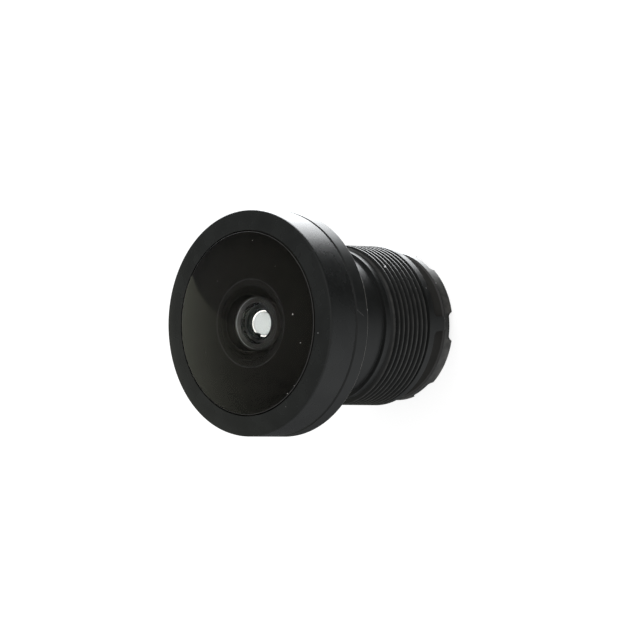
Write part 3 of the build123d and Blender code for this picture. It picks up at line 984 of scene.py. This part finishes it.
def shaded(colour, strength):
    """Colour times a brightness; the brightness is a socket, the colour a socket or numbers."""
    scaled = added(nodes, "ShaderNodeVectorMath", {"operation": "SCALE"})
    if hasattr(colour, "is_output"):
        links.new(colour, scaled.inputs[0])
    else:
        scaled.inputs[0].default_value = colour
    links.new(strength, scaled.inputs["Scale"])
    return scaled.outputs["Vector"]


def joined(one, other):
    """Sum of two colours."""
    total = added(nodes, "ShaderNodeVectorMath", {"operation": "ADD"})
    links.new(one, total.inputs[0])
    links.new(other, total.inputs[1])
    return total.outputs["Vector"]


card = 1.0
for normal, soft in card_edges:
    card = math_node(nodes, links, "MULTIPLY", side_of(normal, soft), card)
near_side = math_node(nodes, links, "MULTIPLY", side_of(*near_side_edge), near_side_extra)
grey = math_node(nodes, links, "ADD", near_side, upper_grey)
upper = joined(shaded(card_colour, card), shaded((1, 1, 1), grey))
lower = added(nodes, "ShaderNodeVectorMath", {"operation": "SCALE"}, Scale=brightest)
links.new(low_ramp.outputs["Color"], lower.inputs[0])
parts = nodes.new("ShaderNodeSeparateXYZ")
links.new(direction, parts.inputs["Vector"])
above = added(nodes, "ShaderNodeMapRange", From_Min=horizon_low, From_Max=horizon_high)
links.new(parts.outputs["Z"], above.inputs["Value"])
mirrored = added(nodes, "ShaderNodeMix", {"data_type": "VECTOR"})
links.new(above.outputs["Result"], mirrored.inputs["Factor"])
links.new(lower.outputs["Vector"], mirrored.inputs["A"])
links.new(upper, mirrored.inputs["B"])
in_gloss = shaded(mirrored.outputs["Result"], glow_for(nodes, links, (("Is Glossy Ray", 1),)))
elsewhere = shaded((1, 1, 1), glow_for(nodes, links, white_glow))
links.new(joined(in_gloss, elsewhere), nodes["Background"].inputs["Color"])

# Large soft lamp on one side, aimed at the middle of the lens
lamp_place, lamp_size, lamp_power = Vector((0.35, 0.1, 0.45)), 0.4, 1.2
lens_middle = Vector((0, 0, 0.008))
lamp_data = bpy.data.lights.new("key", "AREA")
lamp_data.size = lamp_size
lamp_data.energy = lamp_power
lamp = bpy.data.objects.new("key", lamp_data)
lamp.location = lamp_place
lamp.rotation_euler = (lens_middle - lamp_place).to_track_quat("-Z", "Y").to_euler()
lamp.visible_glossy = False
lamp.visible_camera = False
bpy.context.scene.collection.objects.link(lamp)

# Camera
# Half a metre away, as fitted to the photo: the lens's axis leans away from the line of sight,
# and the middle of the head's rim falls on its pixel. Distances are in metres.
camera_distance = 0.5
focal_pixels = 6755.75
image_pixels = 640
sensor_width = 36
nearest_seen = 0.01
axis_angle = radians(43.33)
axis_slope = radians(1.25)
rim_pixel = (248.595, 323.134)
rim_height = 0.01635
# The image's axes run right, down and away. In them the rear of the lens points along rearward,
# and its +X as far up as it can; the matrix turns a place in the image's axes into the lens's.
rearward = Vector((
    sin(axis_angle) * cos(axis_slope), sin(axis_angle) * sin(axis_slope), cos(axis_angle)
))
upward = Vector((0, -1, 0))
lens_x = (upward - rearward * rearward.dot(upward)).normalized()
into_lens = Matrix((lens_x, (-rearward).cross(lens_x), -rearward))
rim_offset = [(pixel - image_pixels / 2) / focal_pixels for pixel in rim_pixel]
rim_place = Vector((*rim_offset, 1)) * camera_distance
camera_data = bpy.data.cameras.new("camera")
camera_data.sensor_width = sensor_width
camera_data.lens = focal_pixels / image_pixels * sensor_width
camera_data.clip_start = nearest_seen
camera = bpy.data.objects.new("camera", camera_data)
bpy.context.scene.collection.objects.link(camera)
right, up, back = Vector((1, 0, 0)), Vector((0, -1, 0)), Vector((0, 0, -1))
camera_axes = Matrix([into_lens @ axis for axis in (right, up, back)]).transposed()
camera_place = Vector((0, 0, rim_height)) - into_lens @ rim_place
camera.matrix_world = Matrix.Translation(camera_place) @ camera_axes.to_4x4()

# Enough bounces for light to get in and out through all seven glasses
scene = bpy.context.scene
scene.camera = camera
scene.view_settings.view_transform = "Standard"
scene.cycles.max_bounces = 32
scene.cycles.transmission_bounces = 32
scene.cycles.glossy_bounces = 8
